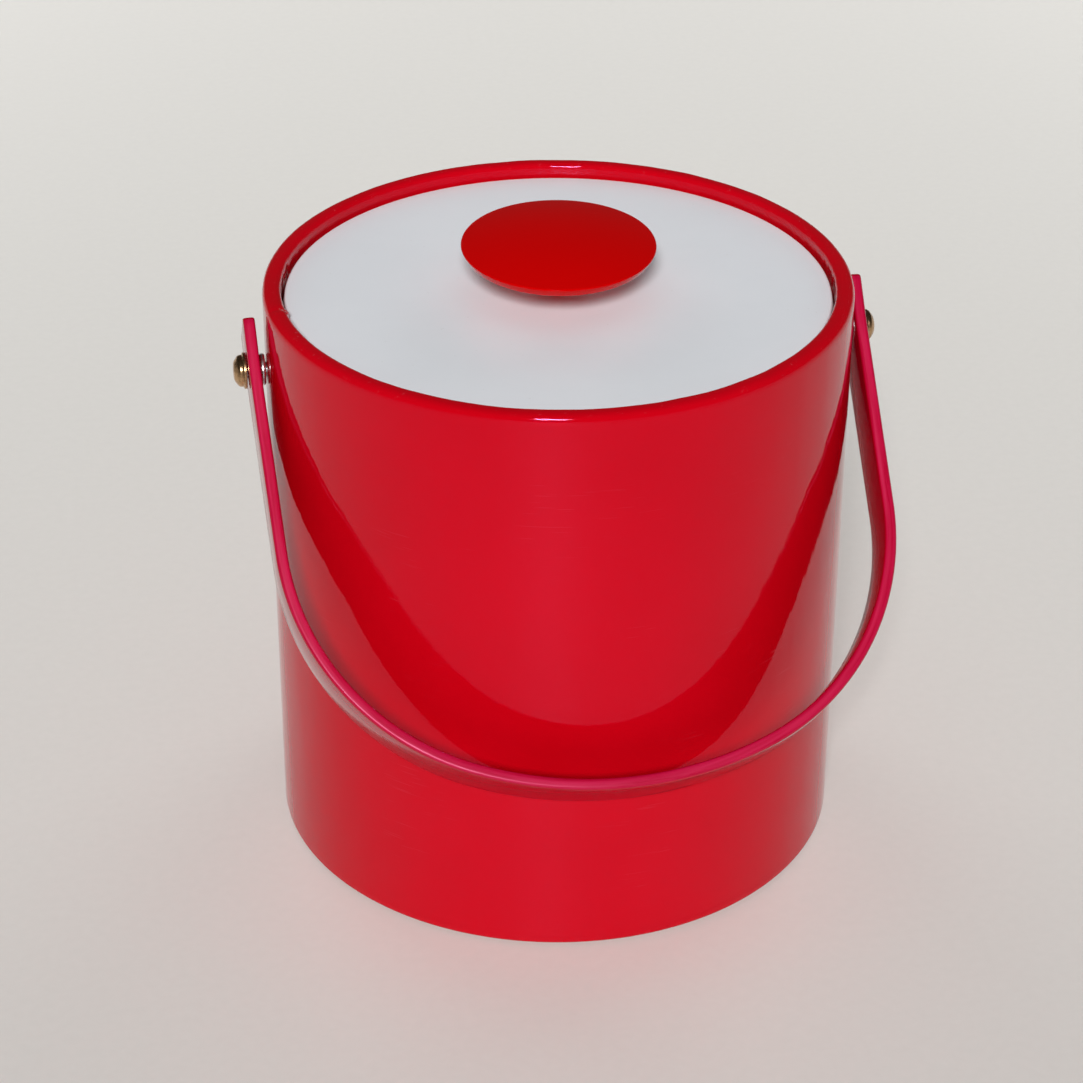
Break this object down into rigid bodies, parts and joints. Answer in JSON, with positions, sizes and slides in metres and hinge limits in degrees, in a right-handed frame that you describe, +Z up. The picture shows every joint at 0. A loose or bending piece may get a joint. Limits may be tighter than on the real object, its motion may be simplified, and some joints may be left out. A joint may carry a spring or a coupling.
{
  "type": "ice bucket",
  "caption": "Round vinyl-covered ice bucket with a white liner, a recessed insulated lid lifted by a low domed knob, and a flat strip bail that swings on side pivots.",
  "frame": {"origin": "centre of the base, on the surface the bucket stands on", "axes": "+Z up along the bucket's axis; X along the bail's pivot axis; the bail hangs down over the -Y side"},
  "size_m": [0.2222, 0.2181, 0.2231],
  "materials": {
    "red_vinyl": "high gloss patent vinyl with a fine unevenness",
    "red_acrylic": "satin cut edges and glossier faces",
    "red_plastic": "polished",
    "white_laminate": "satin",
    "white_plastic": "moulded semi-gloss",
    "fibreboard": "raw",
    "foam": "closed-cell beads",
    "dark_pad": "felted",
    "steel": "zinc plated",
    "chrome": "polished",
    "brass": "aged brass plate"
  },
  "bodies": {
    "bucket": {"vinyl_wrap": "red_vinyl", "shell_tube": "fibreboard", "base_board": "fibreboard", "base_pad": "dark_pad", "foam_disc": "foam", "foam_sleeve": "foam", "inner_liner": "white_plastic", "pivot_screw_left": "steel", "pivot_screw_right": "steel", "backing_washer_left": "steel", "backing_washer_right": "steel", "spacer_left": "chrome", "spacer_right": "chrome", "dome_cap_left": "brass", "dome_cap_right": "brass"},
    "bail": {"bail_strap": "red_acrylic"},
    "lid": {"lid_top": "white_laminate", "lid_pan": "white_plastic", "lid_foam": "foam", "knob_disc": "red_plastic", "knob_stem": "red_plastic", "knob_screw": "steel", "knob_washer": "steel"}
  },
  "joints": [
    {"name": "bail_swing", "type": "hinge", "parent": "bucket", "child": "bail", "pos_m": [0, 0, 0.18], "axis": [-1, 0, 0], "range_deg": [0, 269.3]},
    {"name": "lid_lift", "type": "slide", "parent": "bucket", "child": "lid", "axis": [0, 0, 1], "range_m": [0, 0.16]}
  ]
}
